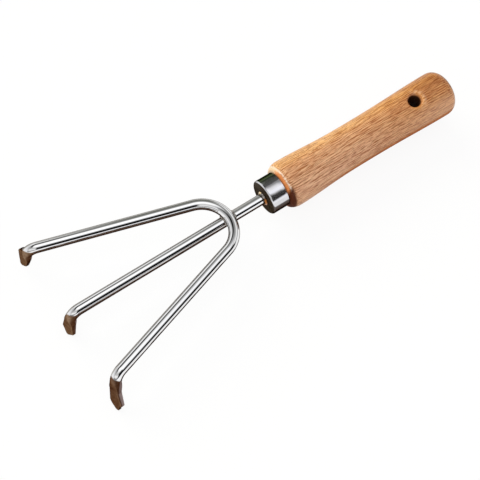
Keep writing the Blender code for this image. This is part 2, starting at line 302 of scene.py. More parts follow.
def blade_ring(point, axes, tip, share):
    """A section of a tip, from the round rod to the flat blade and its point."""
    flatten = ease(between(share, BLADE_START, BLADE_TOP))
    width = blade_width(tip, share)
    thickness = 2 * ROD_RADIUS + (BLADE_THICKNESS - 2 * ROD_RADIUS) * flatten
    thickness += (BLADE_END_THICKNESS - BLADE_THICKNESS) * between(share, BLADE_TOP, 1.0)
    shift = tip["one_sided"] * flatten * max(width - 2 * ROD_RADIUS, 0.0) / 2
    shift += tip["point_aside"] * between(share, BLADE_POINT, 1.0)
    corner = ROUND_CORNER + (BLADE_CORNER - ROUND_CORNER) * flatten
    return ring(point + axes[0] * shift, axes, width, thickness, corner)


def tip_bend(corner, heading, tip):
    """How a tip's bend turns: the directions of the tine (ahead) and the blade (down),
    the hinge and pivot that it turns about, its angle, how far it starts from the
    corner where tine and blade would meet, and the blade's length."""
    ahead = Vector((math.cos(heading), math.sin(heading), 0.0))
    across, up = rod_frame(heading)
    reach = ahead * tip["ahead"] + across * tip["aside"] - up * tip["below"]
    down = reach.normalized()
    hinge = ahead.cross(down).normalized()
    inward = hinge.cross(ahead)
    angle = ahead.angle(down)
    setback = TIP_BEND_RADIUS * math.tan(angle / 2)
    pivot = corner - ahead * setback + inward * TIP_BEND_RADIUS
    return SimpleNamespace(
        ahead=ahead, down=down, hinge=hinge, angle=angle, setback=setback,
        blade_length=reach.length - setback,
        spot=lambda turn: pivot - turn @ inward * TIP_BEND_RADIUS,
    )


def reflection_start(corner, heading, tip):
    """A point on the rod part way round its bend and the direction past the edge of its painted
    reflection of a brown ground.
    """
    bend = tip_bend(corner, heading, tip)
    turn = Matrix.Rotation(REFLECTION_TURN, 3, bend.hinge)
    slant = Vector((0.0, tip["reflection_slant"], 0.0))
    return bend.spot(turn), (turn @ bend.ahead - slant).normalized()


def tip_rings(corner, heading, tip):
    """The bend and forged blade at a tine's end."""
    bend = tip_bend(corner, heading, tip)
    bend_length = TIP_BEND_RADIUS * bend.angle
    total = bend_length + bend.blade_length
    stations = []
    for step in range(TIP_BEND_STEPS + 1):
        turn = Matrix.Rotation(bend.angle * step / TIP_BEND_STEPS, 3, bend.hinge)
        stations.append((bend.spot(turn), turn, bend_length * step / TIP_BEND_STEPS))
    full_turn = turn
    point_run = BLADE_POINT * total - bend_length
    point_length = bend.blade_length - point_run
    runs = [point_run * step / BLADE_STEPS for step in range(1, BLADE_STEPS + 1)]
    runs += [point_run + point_length * share for share in BLADE_POINT_SHARES]
    foot = corner + bend.down * bend.setback
    for run in runs:
        stations.append((foot + bend.down * run, full_turn, bend_length + run))
    rings = []
    for point, turn, run in stations:
        flatten = ease(between(run / total, BLADE_START, BLADE_TOP))
        twist = Matrix.Rotation(tip["turn"] * flatten, 3, turn @ bend.ahead)
        axes = [twist @ turn @ direction for direction in rod_frame(heading)]
        rings.append(blade_ring(point, axes, tip, run / total))
    return rings


def reversed_run(rings):
    """The same sections in the other order, seen from the other end."""
    half = ROD_SIDES // 2
    return [points[half - 1::-1] + points[:half - 1:-1] for points in reversed(rings)]


def outer_corners():
    """Where the outer tines and their tips would meet: left and right, with headings."""
    leg_start = U_BEND_RADIUS * Vector((math.sin(SPREAD_ANGLE) - 1, math.cos(SPREAD_ANGLE)))
    run = (TINE_REACH + leg_start.x) / math.cos(SPREAD_ANGLE)
    corner_y = leg_start.y + run * math.sin(SPREAD_ANGLE)
    return (
        (Vector((-TINE_REACH, corner_y, LAP_RISE)), math.pi - SPREAD_ANGLE, LEFT_TIP),
        (Vector((-TINE_REACH, -corner_y, LAP_RISE)), math.pi + SPREAD_ANGLE, RIGHT_TIP),
    )


def centre_corner():
    return Vector((-TINE_REACH, 0.0, 0.0)), math.pi, MIDDLE_TIP


def make_outer_rod(material):
    sweep = math.pi / 2 - SPREAD_ANGLE
    bend = []
    for step in range(-U_STEPS, U_STEPS + 1):
        turn = sweep * step / U_STEPS
        along, aside = U_BEND_RADIUS * (math.cos(turn) - 1), U_BEND_RADIUS * math.sin(turn)
        bend.append(round_ring(Vector((along, aside, LAP_RISE)), turn + math.pi / 2))
    left, right = (tip_rings(*corner) for corner in outer_corners())
    mesh = skin(reversed_run(right) + bend + left)
    finish_piece(mesh, "outer_tines_forged", ["outer_tines"], material, sharp=50)


def make_centre_rod(material):
    start = Vector((SHANK_LENGTH + TANG_LENGTH, 0.0, 0.0))
    full = start - Vector((TANG_CHAMFER, 0.0, 0.0))
    before_tip = Vector((STRAIGHT_END, 0.0, 0.0))
    rings = [round_ring(start, math.pi, TANG_END_DIAMETER)]
    rings += straight(full, before_tip, math.pi, STRAIGHT_STEPS)
    rings += tip_rings(*centre_corner())
    mesh = skin(rings)
    finish_piece(mesh, "centre_tine_forged", ["centre_tine"], material, sharp=50)


# ---------------------------------------------------------------- welds

def crossing_line(steps):
    """The closed line along which the two rods' surfaces meet."""
    below, above = LAP_RISE - ROD_RADIUS, ROD_RADIUS
    points = []
    for index in range(steps):
        turn = math.tau * index / steps
        z = below + (above - below) * math.cos(turn) ** 2
        half_width = math.sqrt(max(ROD_RADIUS ** 2 - z ** 2, 0.0))
        half_depth = math.sqrt(max(ROD_RADIUS ** 2 - (z - LAP_RISE) ** 2, 0.0))
        y = math.copysign(half_width, math.sin(turn))
        out = U_BEND_RADIUS + math.copysign(half_depth, math.cos(turn))
        points.append(Vector((math.sqrt(out ** 2 - y ** 2) - U_BEND_RADIUS, y, z)))
    return points


def make_crossing_bead(material):
    """Weld metal laid round the crossing, rippled as it was fed."""
    line = crossing_line(BEAD_STEPS)
    middle = sum(line, Vector()) / len(line)
    rings = []
    for index, point in enumerate(line):
        along = (line[(index + 1) % len(line)] - line[index - 1]).normalized()
        outward = (point - middle).normalized()
        aside = along.cross(outward).normalized()
        up = aside.cross(along).normalized()
        turn = math.tau * index / len(line)
        radius = BEAD_RADIUS + BEAD_RIPPLE * math.sin(turn * BEAD_RIPPLES)
        ring_points = []
        for side in range(BEAD_SIDES):
            angle = math.tau * side / BEAD_SIDES
            spot = point + (aside * math.cos(angle) + up * math.sin(angle)) * radius
            spot += (spot - point) * BEAD_LUMP * noise.noise(spot * BEAD_LUMP_SCALE)
            ring_points.append(spot)
        rings.append(ring_points)
    mesh = skin(rings + [rings[0]], closed_ends=False)
    finish_piece(mesh, "crossing_bead", ["crossing_weld"], material, sharp=80)


def make_shank_bead(material):
    """The small fillet where the shank leaves the ferrule's face."""
    near = SHANK_LENGTH - FIT_GAP - SHANK_BEAD_LEG
    far = SHANK_LENGTH - SHANK_BEAD_FACE_GAP
    inner = ROD_RADIUS + SHANK_BEAD_ROD_GAP
    hollow = SHANK_BEAD_LEG * SHANK_BEAD_HOLLOW
    outline = [(inner + SHANK_BEAD_LEG, far)]
    outline += arc((inner + SHANK_BEAD_LEG, near), hollow, hollow, 90, 180, SHANK_BEAD_STEPS)
    outline += [(inner, near), (inner, far)]
    mesh = lathe(outline, SHANK_BEAD_SIDES, closed=True)
    for vertex in mesh.vertices:
        lump = noise.noise(vertex.co * SHANK_BEAD_LUMP_SCALE)
        vertex.co.x = min(vertex.co.x + SHANK_BEAD_LUMP * lump, far)
    finish_piece(mesh, "shank_bead", ["shank_weld"], material, sharp=60)


# ---------------------------------------------------------------- ferrule and handle

def make_ferrule(material):
    edge, lip = FERRULE_EDGE_RADIUS, FERRULE_LIP_RADIUS
    back = SHANK_LENGTH + FERRULE_LENGTH
    inside = FERRULE_RADIUS - FERRULE_WALL
    front = SHANK_LENGTH + FERRULE_WALL
    bore = ROD_RADIUS + FERRULE_BORE_GAP
    outline = arc((FERRULE_RADIUS - lip, back - lip), lip, lip, 90, 0, FERRULE_LIP_STEPS)
    outline += [
        (FERRULE_RADIUS, back - lip - FLAT_INSET),
        (FERRULE_RADIUS, SHANK_LENGTH + edge + FLAT_INSET),
    ]
    outline += arc(
        (FERRULE_RADIUS - edge, SHANK_LENGTH + edge), edge, edge, 0, -90, FERRULE_EDGE_STEPS,
    )
    outline += [
        (FERRULE_RADIUS - edge - FLAT_INSET, SHANK_LENGTH),
        (bore, SHANK_LENGTH), (bore, front),
    ]
    outline += arc((inside - lip, front + lip), lip, lip, -90, 0, FERRULE_CORNER_STEPS)
    outline += [(inside, back)]
    mesh = lathe(outline, FERRULE_SIDES, closed=True)
    finish_piece(mesh, "ferrule_cup", ["ferrule"], material, sharp=40)


def handle_radius(along):
    if along < WAIST_PLACE:
        share = (WAIST_PLACE - along) / (WAIST_PLACE - SHOULDER_LENGTH)
        return WAIST_RADIUS + (SHOULDER_RADIUS - WAIST_RADIUS) * ease(share ** WAIST_EASE)
    share = (along - WAIST_PLACE) / (SWELL_PLACE - WAIST_PLACE)
    return WAIST_RADIUS + (SWELL_RADIUS - WAIST_RADIUS) * ease(min(share, 1.0) ** WAIST_EASE)


def handle_outline():
    """From the butt's middle over the outside to the tenon, and in along the bore."""
    end = HANDLE_START + HANDLE_LENGTH
    round_start = HANDLE_LENGTH - BUTT_ROUND_LENGTH
    outline = [(0.0, end), (BUTT_MIDDLE_RADIUS, end)]
    outline += arc(
        (BUTT_FLAT_RADIUS, end - BUTT_ROUND_LENGTH),
        SWELL_RADIUS - BUTT_FLAT_RADIUS, BUTT_ROUND_LENGTH, 90, 0, HANDLE_ROUND_STEPS,
    )
    for step in range(1, HANDLE_STEPS):
        along = round_start + (SHOULDER_LENGTH - round_start) * step / HANDLE_STEPS
        outline.append((handle_radius(along), HANDLE_START + along))
    outline += arc(
        (SHOULDER_FOOT_RADIUS, HANDLE_START + SHOULDER_LENGTH),
        SHOULDER_RADIUS - SHOULDER_FOOT_RADIUS, SHOULDER_LENGTH, 0, -90, HANDLE_ROUND_STEPS,
    )
    tenon = FERRULE_RADIUS - FERRULE_WALL - SHOWN_GAP
    tenon_front = SHANK_LENGTH + FERRULE_WALL + SHOWN_GAP
    bore = ROD_RADIUS + SHOWN_GAP
    bore_end = SHANK_LENGTH + TANG_LENGTH + SHOWN_GAP
    return outline + [
        (tenon, HANDLE_START), (tenon, tenon_front + TENON_CHAMFER),
        (tenon - TENON_CHAMFER, tenon_front), (bore, tenon_front),
        (bore, bore_end), (0.0, bore_end + HANDLE_BORE_POINT),
    ]


def hole_cutter():
    """The hanging hole with the dish round each mouth, where it goes through the handle."""
    skin_height = handle_radius(HANDLE_LENGTH - HOLE_FROM_BUTT)
    top = skin_height + DISH_DEPTH
    flare = DISH_RADIUS - HOLE_RADIUS
    foot = (DISH_RADIUS, skin_height - DISH_DEPTH)
    upper = arc(foot, flare, DISH_DEPTH, 90, 180, DISH_STEPS)
    lower = [(radius, -height) for radius, height in reversed(upper)]
    outline = [(0.0, top), (DISH_RADIUS, top)] + upper
    outline += lower + [(DISH_RADIUS, -top), (0.0, -top)]
    cutter = show("hole_cutter", lathe(outline, CUTTER_SIDES))
    cutter.matrix_world = (
        Matrix.Translation((HOLE_PLACE, 0.0, 0.0))
        @ Matrix.Rotation(HOLE_TURN, 4, "X")
        @ Matrix.Rotation(math.radians(-90), 4, "Y")
    )
    return cutter


def make_handle(material):
    blank = show("handle_blank", lathe(handle_outline(), HANDLE_SIDES))
    cutter = hole_cutter()
    boolean = blank.modifiers.new("hole", "BOOLEAN")
    boolean.operation, boolean.solver, boolean.object = "DIFFERENCE", "EXACT", cutter
    bpy.context.view_layer.update()
    depsgraph = bpy.context.evaluated_depsgraph_get()
    mesh = bpy.data.meshes.new_from_object(blank.evaluated_get(depsgraph))
    bpy.data.objects.remove(blank, do_unlink=True)
    bpy.data.objects.remove(cutter, do_unlink=True)
    finish_piece(mesh, "handle_turned", ["handle"], material, sharp=38)


# ---------------------------------------------------------------- colours, linear

def rgb(red, green, blue):
    return (red, green, blue, 1.0)


def grey(level, tint=(1.0, 1.0, 1.0)):
    return rgb(level * tint[0], level * tint[1], level * tint[2])


WHITE = grey(1.0)

# Steel. A pair is mixed by a noise, or for the ferrule's painted olive reflection by where it
# faces.
EDGE_TINT = rgb(0.14, 0.11, 0.09)          # seen along the surface
ROD_STEEL = grey(0.84), grey(0.92)
HAIRLINE = grey(0.76)
# painted reflection of a brown ground, on the rods' lower sides
LOWER_PAINTED_REFLECTION = rgb(0.050, 0.021, 0.009)
# painted olive reflection on the rods' left flank
ROD_OLIVE_REFLECTION = rgb(0.26, 0.245, 0.20)
# painted reflection on the tips: paler where a face looks ahead, deeper elsewhere
TIP_PALE_REFLECTION = rgb(0.235, 0.145, 0.085), rgb(0.330, 0.220, 0.145)
TIP_DEEP_REFLECTION = rgb(0.085, 0.040, 0.021), rgb(0.130, 0.068, 0.038)
RIGHT_TIP_TINT = rgb(0.66, 0.58, 0.56)
# painted highlight on the tips' faces that look back and to the right
TIP_BACK_EDGE_HIGHLIGHT = rgb(0.36, 0.28, 0.27)
FERRULE_STEEL = rgb(0.66, 0.66, 0.68), rgb(0.76, 0.76, 0.79)
# painted olive reflection on the ferrule's left flank
FERRULE_OLIVE_REFLECTION = rgb(0.27, 0.27, 0.28), rgb(0.085, 0.105, 0.068)
# painted reflection of a brown ground, on the ferrule's lower side
FERRULE_LOWER_REFLECTION = rgb(0.090, 0.072, 0.065)
# painted reflection of a brown ground on the front face, lighter toward its upper left
FERRULE_FACE_REFLECTION = rgb(0.030, 0.022, 0.015), rgb(0.064, 0.045, 0.029)
FERRULE_FACE_LIGHTER_REFLECTION = rgb(0.105, 0.092, 0.075)
BEAD_STOPS = (
    (0.30, rgb(0.10, 0.080, 0.065)), (0.44, rgb(0.22, 0.19, 0.165)),
    (0.60, rgb(0.50, 0.47, 0.43)), (0.72, rgb(0.66, 0.63, 0.60)),
)
BEAD_STRAW = rgb(0.95, 0.70, 0.36)
BEAD_SCORCH = rgb(0.36, 0.135, 0.030)

# Wood. A name with TINT multiplies the wood's own colour.
BEECH = rgb(0.63, 0.325, 0.164), rgb(0.68, 0.358, 0.184)
FIGURE = rgb(0.58, 0.275, 0.120)
# painted light: the side toward the key lamp, lighter and golden
GOLDEN_LIT_SIDE = rgb(0.84, 0.475, 0.160)
# painted pink sheen on the right
PINK_SHEEN_SIDE = rgb(0.84, 0.50, 0.34)
DARK_FIBRE = rgb(0.36, 0.120, 0.028)
FLECK = rgb(0.22, 0.050, 0.008)
FIBRE_LINE = rgb(0.30, 0.090, 0.018)
PORE = rgb(0.18, 0.042, 0.008)
LIGHT_FIBRE = rgb(0.96, 0.66, 0.38)
HONEY_TINT = rgb(0.86, 0.72, 0.50)
# painted shade toward the butt on the user's left
BUTT_SHADE_TINT = rgb(0.74, 0.68, 0.68)
BUTT_PALE = rgb(0.86, 0.60, 0.44)
# dark end grain, partly painted shade on the butt's face
END_GRAIN_AND_SHADE = rgb(0.17, 0.068, 0.026)
# painted shade and painted reflection of a brown ground, on the underside
UNDER_SHADE_TINT = rgb(0.74, 0.42, 0.10)
LEFT_EDGE_TINT = rgb(0.86, 0.70, 0.42)
SHOULDER_CREAM = rgb(0.96, 0.76, 0.50)
SHOULDER_RIM = rgb(0.78, 0.235, 0.050)
# painted highlight on the shoulder's crest
SHOULDER_HIGHLIGHT_RING = rgb(0.93, 0.78, 0.64)
SHOULDER_SCORCH = rgb(0.066, 0.010, 0.001)
# paler wood across the grain, partly a painted highlight on the dish's lit wall
DISH_PALE = rgb(0.92, 0.66, 0.42)
# painted light: an orange glow on the dish's lit side
DISH_GLOW = rgb(0.78, 0.350, 0.100)
HOLE_LIP = rgb(0.36, 0.110, 0.030)
# painted shade deep in the hole
HOLE_PAINTED_SHADE = rgb(0.026, 0.006, 0.002)

# The grain's directions and steps, metres
GRAIN_TURN = math.radians(-2.5)
GRAIN_WARP = 0.0018
FIBRE_LINE_STEP = 0.00165
FIBRE_LINE_RADIUS = 0.0172                 # of the handle, for distances round it
FIBRE_LINE_SLOPE = 0.035
FIBRE_LINE_SWAY = 0.0016


# ---------------------------------------------------------------- node helpers

class Nodes:
    """Writes shader nodes as expressions of sockets, numbers and colours."""

    def __init__(self, tree):
        self.tree = tree

    def node(self, kind, **settings):
        node = self.tree.nodes.new("ShaderNode" + kind)
        for key, value in settings.items():
            setattr(node, key, value)
        return node

    def put(self, value, socket):
        if isinstance(value, bpy.types.NodeSocket):
            self.tree.links.new(value, socket)
        else:
            socket.default_value = value

    def math(self, operation, first, second=0.0, third=0.0, clamp=False):
        node = self.node("Math", operation=operation, use_clamp=clamp)
        for value, socket in zip((first, second, third), node.inputs):
            self.put(value, socket)
        return node.outputs[0]

    def plus(self, first, second):
        return self.math("ADD", first, second)

    def times(self, first, *others):
        for other in others:
            first = self.math("MULTIPLY", first, other)
        return first

    def more(self, base, share, amount, clamp=False):
        """Base plus a share of an amount."""
        return self.math("MULTIPLY_ADD", share, amount, base, clamp)

    def spread(self, value, width):
        """A noise of 0 to 1, moved to lie about 0 and made this wide."""
        return self.times(self.math("SUBTRACT", value, 0.5), width)

    def vector(self, operation, first, second, out="Vector"):
        node = self.node("VectorMath", operation=operation)
        self.put(first, node.inputs[0])
        self.put(second, node.inputs[1])
        return node.outputs[out]

    def dot(self, first, second):
        return self.vector("DOT_PRODUCT", first, second, "Value")

    def stretched(self, vector, factors):
        """A place scaled by axis. A small factor draws a noise out along that axis."""
        return self.vector("MULTIPLY", vector, factors)

    def split(self, vector):
        node = self.node("SeparateXYZ")
        self.put(vector, node.inputs[0])
        return node.outputs

    def noise(self, vector, scale, detail=2.0, roughness=0.5, distortion=0.0, out="Fac"):
        node = self.node("TexNoise")
        self.put(vector, node.inputs["Vector"])
        node.inputs["Scale"].default_value = scale
        node.inputs["Detail"].default_value = detail
        node.inputs["Roughness"].default_value = roughness
        node.inputs["Distortion"].default_value = distortion
        return node.outputs[out]

    def rise(self, value, start, end):
        """0 before start, 1 past end, smooth between (start may be the larger)."""
        node = self.node("MapRange", interpolation_type="SMOOTHSTEP")
        self.put(value, node.inputs["Value"])
        falls = start > end
        node.inputs["From Min"].default_value = min(start, end)
        node.inputs["From Max"].default_value = max(start, end)
        node.inputs["To Min"].default_value = float(falls)
        node.inputs["To Max"].default_value = float(not falls)
        return node.outputs["Result"]

    def mix(self, factor, first, second, blend="MIX"):
        node = self.node("Mix", data_type="RGBA", blend_type=blend)
        self.put(factor, node.inputs[0])
        self.put(first, node.inputs[6])
        self.put(second, node.inputs[7])
        return node.outputs[2]

    def over(self, below, above, *shares):
        """One colour over another, by the product of the shares."""
        return self.mix(self.times(*shares), below, above)

    def tinted(self, colour, tint, *shares):
        """A colour multiplied by a tint, by the product of the shares."""
        return self.over(colour, self.mix(1.0, colour, tint, "MULTIPLY"), *shares)

    def ramp(self, value, stops):
        node = self.node("ValToRGB")
        self.put(value, node.inputs[0])
        elements = node.color_ramp.elements
        while len(elements) < len(stops):
            elements.new(0.5)
        for element, (position, colour) in zip(elements, stops):
            element.position = position
            element.color = colour
        return node.outputs["Color"]

    def bump(self, height, distance, strength, normal=None):
        node = self.node("Bump")
        node.inputs["Strength"].default_value = strength
        node.inputs["Distance"].default_value = distance
        self.put(height, node.inputs["Height"])
        if normal:
            self.put(normal, node.inputs["Normal"])
        return node.outputs["Normal"]


class Graph(Nodes):
    """A material's nodes."""

    def __init__(self, name):
        self.material = bpy.data.materials.new(name)
        self.material.use_nodes = True
        super().__init__(self.material.node_tree)
        self.shader = self.tree.nodes["Principled BSDF"]
        coordinates = self.node("TexCoord").outputs
        # the tool's own frame, metres
        self.place = self.vector("SUBTRACT", coordinates["Object"], ORIGIN)
        self.normal = coordinates["Normal"]

    def done(self, colour, roughness, normal=None, **constants):
        self.put(colour, self.shader.inputs["Base Color"])
        self.put(roughness, self.shader.inputs["Roughness"])
        if normal:
            self.put(normal, self.shader.inputs["Normal"])
        for key, value in constants.items():
            self.shader.inputs[key.replace("_", " ")].default_value = value
        return self.material


# ---------------------------------------------------------------- metals

def lower_side(g, nz, top):
    """How far a spot lies on the lower sides, where a reflection of a brown ground is painted.
    top is the normal's rise at which that painted reflection ends."""
    level = g.math("SUBTRACT", nz, top)
    return g.times(g.rise(level, 0.0, -0.09), g.rise(nz, -0.55, -0.40))


def tip_painted_reflection(g, y, reflection_starts):
    """How far a spot lies past the edge of its tip's painted reflection of a brown ground."""
    wobble = g.spread(g.noise(g.place, 260.0, 3.0), 0.0016)
    reflected_ground = 0.0
    for point, direction, side_y in reflection_starts:
        past = g.plus(g.dot(g.vector("SUBTRACT", g.place, point), direction), wobble)
        there = g.rise(past, -0.0006, 0.0006)
        if side_y:
            there = g.times(there, g.rise(y, -0.001 * side_y, 0.001 * side_y))
        reflected_ground = g.math("MAXIMUM", there, reflected_ground)
    return reflected_ground


def tip_reflected_brown(g, y, nx, ny):
    """The mottled brown painted on the forged tips as a reflection of a brown ground, paler as
    painted light where a face looks ahead, with a painted highlight on faces that look back and
    to the right.
    """
    mottle = g.rise(g.noise(g.place, 420.0, 4.0, 0.6), 0.30, 0.70)
    pale, deep = g.mix(mottle, *TIP_PALE_REFLECTION), g.mix(mottle, *TIP_DEEP_REFLECTION)
    # painted light: paler on the faces that look ahead
    brown = g.mix(g.rise(nx, -0.35, -0.80), deep, pale)
    brown = g.tinted(brown, RIGHT_TIP_TINT, g.rise(y, -0.010, -0.020))
    # painted highlight on faces that look back and to the right
    return g.over(brown, TIP_BACK_EDGE_HIGHLIGHT, g.rise(nx, 0.05, 0.45), g.rise(ny, -0.30, -0.75), 0.9)


def tine_steel(name, reflection_starts, tops):
    """Polished round rod: drawing lines and hairlines, a painted reflection of a brown ground
    along the lower sides and on the forged tips, and a faint painted olive reflection on the
    left flank. The second argument gives, for each tip, a point and direction of the rod
    where its painted reflection starts, and the side (y) that the tip is on. tops is how
    far up the painted reflection along the lower sides reaches on the right and on the left."""
    g = Graph(name)
    x, y, _ = g.split(g.place)
    nx, ny, nz = g.split(g.normal)
    drawn = g.stretched(g.place, (0.05, 1.0, 1.0))
    hair = g.noise(drawn, 2600.0, 3.0, 0.6)
    cloud = g.noise(g.place, 90.0, 3.0, 0.55)
    steel = g.mix(cloud, *ROD_STEEL)
    steel = g.over(steel, HAIRLINE, g.rise(hair, 0.55, 0.75))

    streak = g.spread(g.noise(drawn, 420.0, 3.0), 0.26)
    right, left = tops
    top = g.more(right, g.rise(y, -0.006, 0.006), left - right)
    top = g.more(top, g.rise(x, -0.03, 0.0), -0.10)
    # painted reflection of a brown ground along the lower sides
    side = lower_side(g, g.plus(nz, streak), top)
    steel = g.over(steel, LOWER_PAINTED_REFLECTION, side, 0.97)
    # painted olive reflection on the left flank
    flank = g.rise(g.plus(ny, streak), 0.28, 0.50)
    upward = g.times(g.rise(nz, 0.94, 0.82), g.rise(nz, 0.50, 0.66))
    steel = g.over(steel, ROD_OLIVE_REFLECTION, flank, upward, 0.60)

    # painted reflection of a brown ground on the forged tips
    reflected_ground = tip_painted_reflection(g, y, reflection_starts)
    colour = g.over(steel, tip_reflected_brown(g, y, nx, ny), reflected_ground)

    rough = g.more(0.012, cloud, 0.02)
    rough = g.more(rough, g.rise(hair, 0.5, 0.8), 0.02)
    rough = g.more(rough, side, 0.10)
    rough = g.more(rough, reflected_ground, 0.34)
    dents = g.bump(g.noise(g.place, 330.0), 0.00003, 0.5)
    hairs = g.bump(hair, 0.000004, 0.5, dents)
    return g.done(colour, rough, hairs, Metallic=1.0, Specular_Tint=EDGE_TINT)


def ferrule_steel():
    """A polished cap: mirror side with a painted olive reflection on one flank and a painted
    brown one below, a face painted dark brown as a reflection, fine turning lines."""
    g = Graph("ferrule_steel_mirror")
    _, y, z = g.split(g.place)
    nx, ny, nz = g.split(g.normal)
    cloud = g.noise(g.place, 160.0, 3.0, 0.6)
    steel = g.mix(cloud, *FERRULE_STEEL)
    edge = g.plus(ny, g.spread(cloud, 0.06))
    # painted olive reflection on the left flank
    olive = g.mix(g.rise(edge, 0.12, 0.50), *FERRULE_OLIVE_REFLECTION)
    flank = g.times(g.rise(edge, -0.02, 0.05), g.rise(nx, -0.45, -0.15))
    steel = g.over(steel, olive, flank, g.rise(nz, 0.10, 0.38))
    # painted reflection of a brown ground on the lower side
    steel = g.over(steel, FERRULE_LOWER_REFLECTION, lower_side(g, nz, 0.36), 0.97)

    # painted reflection of a brown ground on the front face, its metal turned down there
    face = g.rise(nx, -0.86, -0.97)
    mottle = g.noise(g.place, 420.0, 4.0, 0.65, 0.4)
    dark = g.mix(g.rise(mottle, 0.35, 0.65), *FERRULE_FACE_REFLECTION)
    high = g.times(g.rise(y, -0.002, 0.010), g.rise(z, -0.004, 0.008))
    dark = g.over(dark, FERRULE_FACE_LIGHTER_REFLECTION, high, 0.6)
    colour = g.over(steel, dark, face)
    rough = g.more(g.more(0.025, cloud, 0.03), face, 0.28)
    g.put(g.more(0.94, face, -0.80), g.shader.inputs["Metallic"])

    turning = g.noise(g.stretched(g.place, (1.0, 0.02, 0.02)), 5200.0, 2.0, 0.6)
    ripple = g.bump(g.noise(g.place, 240.0, 1.0), 0.00003, 0.4)
    lines = g.bump(turning, 0.0000025, 0.4, ripple)
    return g.done(colour, rough, lines, Specular_IOR_Level=0.0, Specular_Tint=EDGE_TINT)


def weld_metal():
    """Weld bead, polished over, with a straw-coloured spot and brown scale."""
    g = Graph("weld_metal_tinted")
    x, y, z = g.split(g.place)
    grain = g.noise(g.place, 2400.0, 3.0, 0.6)
    colour = g.ramp(g.noise(g.place, 420.0, 3.0, 0.6), BEAD_STOPS)
    at_ferrule = g.rise(x, 0.020, 0.026)
    straw = g.times(at_ferrule, g.rise(y, 0.0018, 0.0030), g.rise(z, 0.0005, 0.0020))
    colour = g.over(colour, BEAD_STRAW, straw)
    scorch = g.times(at_ferrule, g.rise(y, -0.0016, -0.0028), g.rise(z, 0.0045, 0.0030))
    colour = g.over(colour, BEAD_SCORCH, scorch)
    rough = g.more(0.12, grain, 0.25)
    return g.done(colour, rough, g.bump(grain, 0.00004, 0.6), Metallic=1.0)


# ---------------------------------------------------------------- wood

def fibre_lines(g, wood, x, y, z):
    """Long dark lines at even steps round the handle, swaying and broken up."""
    sway = g.noise(g.stretched(wood, (0.10, 1.0, 1.0)), 520.0, 2.0)
    across = g.more(g.times(x, FIBRE_LINE_SLOPE), g.math("ARCTAN2", y, z), FIBRE_LINE_RADIUS)
    across = g.plus(across, g.spread(sway, FIBRE_LINE_SWAY))
    wave = g.math("SINE", g.times(across, math.tau / FIBRE_LINE_STEP))
    broken = g.noise(g.stretched(wood, (0.07, 1.0, 1.0)), 900.0, 1.0)
    return g.times(g.rise(wave, -0.1, 0.8), g.rise(broken, 0.40, 0.56))


def shoulder_marks(g, colour, x, y, nz, pores):
    """Round the ferrule: cream wood on the left, an orange rim elsewhere, a painted
    highlight ring on the shoulder's crest, and dark scorch on the right. Returns the
    colour and the scorch."""
    fleck = g.spread(g.noise(g.place, 900.0), 0.0016)
    along = g.plus(x, fleck)

    def from_end(start, end):
        return g.rise(along, HANDLE_START + start, HANDLE_START + end)

    cream = g.times(from_end(0.0030, 0.0015), g.rise(y, 0.001, 0.007))
    colour = g.over(colour, SHOULDER_CREAM, cream, 0.55)
    rim = g.times(from_end(0.0015, 0.0008), g.rise(y, 0.009, 0.004))
    colour = g.over(colour, SHOULDER_RIM, rim, 0.75)
    # painted highlight ring on the shoulder's crest
    crest = g.times(from_end(0.0012, 0.0019), from_end(0.0030, 0.0022))
    highlight_share = g.times(g.rise(nz, 0.20, 0.45), g.rise(pores, 0.64, 0.50))
    colour = g.over(colour, SHOULDER_HIGHLIGHT_RING, crest, highlight_share, 0.75)
    scorch = g.times(from_end(0.0046, 0.0024), g.rise(y, -0.0088, -0.0122))
    return g.over(colour, SHOULDER_SCORCH, scorch, 0.97), scorch


def hole_marks(g, colour):
    """The hole: a wall painted nearly black as shade, a reddish lip, paler wood where the
    dish cuts across the grain, partly a painted highlight on the dish's lit side, and a
    painted orange glow on that side. Returns the colour and how far inside a spot is."""
    hx, hy, hz = g.split(g.vector("SUBTRACT", g.place, (HOLE_PLACE, 0.0, 0.0)))
    tilted = g.more(hy, hz, math.tan(HOLE_TURN))
    away = g.plus(g.math("POWER", hx, 2.0), g.math("POWER", tilted, 2.0))
    away = g.math("SQRT", away)
    grain = g.noise(g.stretched(g.place, (0.25, 1.0, 1.0)), 1300.0, 0.0)
    # paler wood across the grain, partly a painted highlight on the dish's lit side
    dish = g.rise(away, DISH_RADIUS + 0.0012, DISH_RADIUS - 0.0015)
    dish = g.times(dish, g.rise(hx, 0.0, 0.0035), g.rise(grain, 0.40, 0.58))
    colour = g.over(colour, DISH_PALE, dish, 0.42)
    # painted light: an orange glow on the dish's lit side
    glow = g.rise(away, DISH_RADIUS, HOLE_RADIUS + 0.0010)
    lit = g.rise(g.math("SUBTRACT", hx, hy), -0.001, 0.004)
    colour = g.over(colour, DISH_GLOW, glow, lit, 0.55)
    lip = g.rise(away, HOLE_RADIUS + 0.0019, HOLE_RADIUS + 0.0007)
    colour = g.over(colour, HOLE_LIP, lip, 0.60)
    # painted shade inside the hole
    inside = g.rise(away, HOLE_RADIUS + 0.0008, HOLE_RADIUS - 0.0001)
    return g.over(colour, HOLE_PAINTED_SHADE, inside, 0.98), inside


